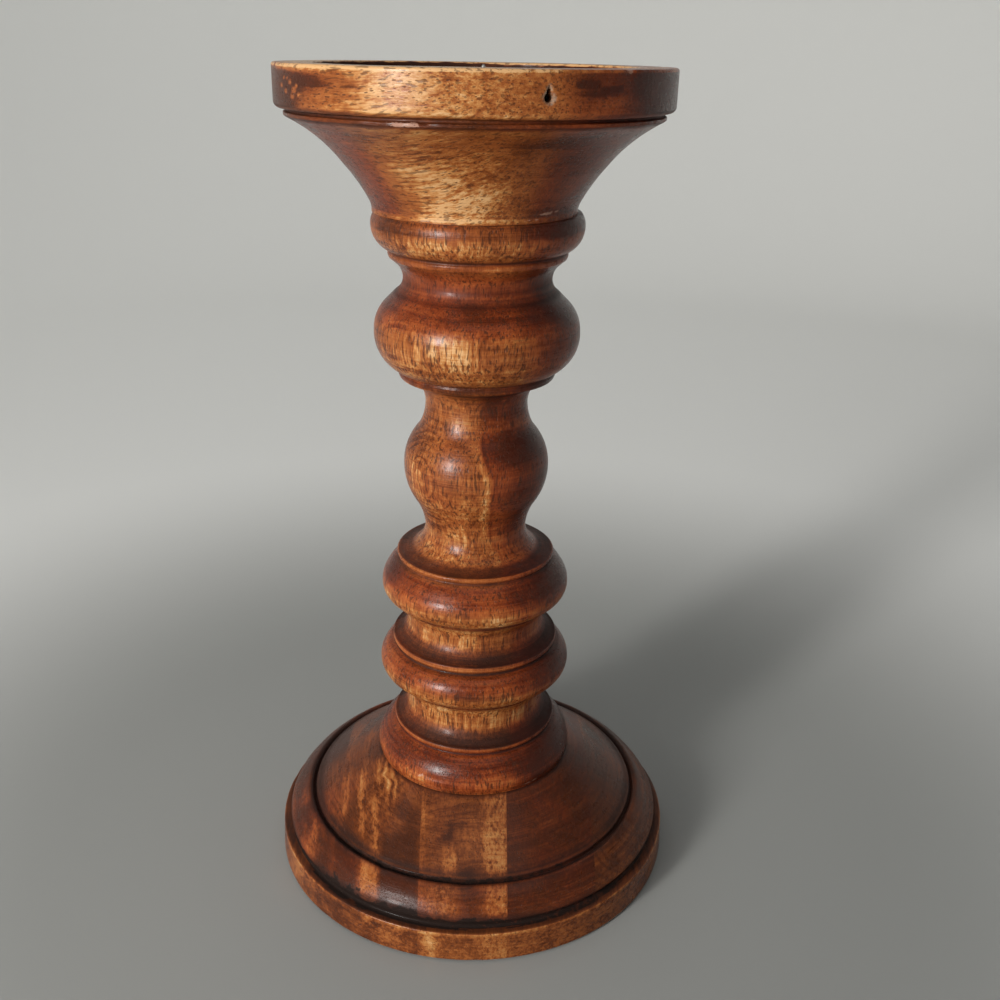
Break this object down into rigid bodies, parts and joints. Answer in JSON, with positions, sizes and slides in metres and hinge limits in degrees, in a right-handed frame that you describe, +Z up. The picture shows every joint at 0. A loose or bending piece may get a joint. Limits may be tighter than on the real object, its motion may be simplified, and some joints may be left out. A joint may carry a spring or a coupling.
{
  "type": "pricket candle stand",
  "caption": "Turned hardwood candle stand with a laminated round base, a beaded spindle stem and a recessed cup holding a short steel pricket.",
  "frame": {"origin": "middle of the underside, on the surface the stand rests on", "axes": "+Z up along the stem, +X to the right and +Y away from the viewer when the front is seen"},
  "size_m": [0.126, 0.1258, 0.24],
  "materials": {
    "base_wood": "stained and waxed",
    "stem_wood": "stained and waxed",
    "cup_wood": "stained and waxed",
    "steel": "bright drawn",
    "felt": "wool felt"
  },
  "bodies": {
    "root": {"base_board_1": "base_wood", "base_board_2": "base_wood", "base_board_3": "base_wood", "base_board_4": "base_wood", "base_board_5": "base_wood", "stem_spindle": "stem_wood", "cup": "cup_wood", "pricket_spike": "steel", "stem_screw": "steel", "stem_washer": "steel", "felt_pad": "felt"}
  },
  "joints": []
}
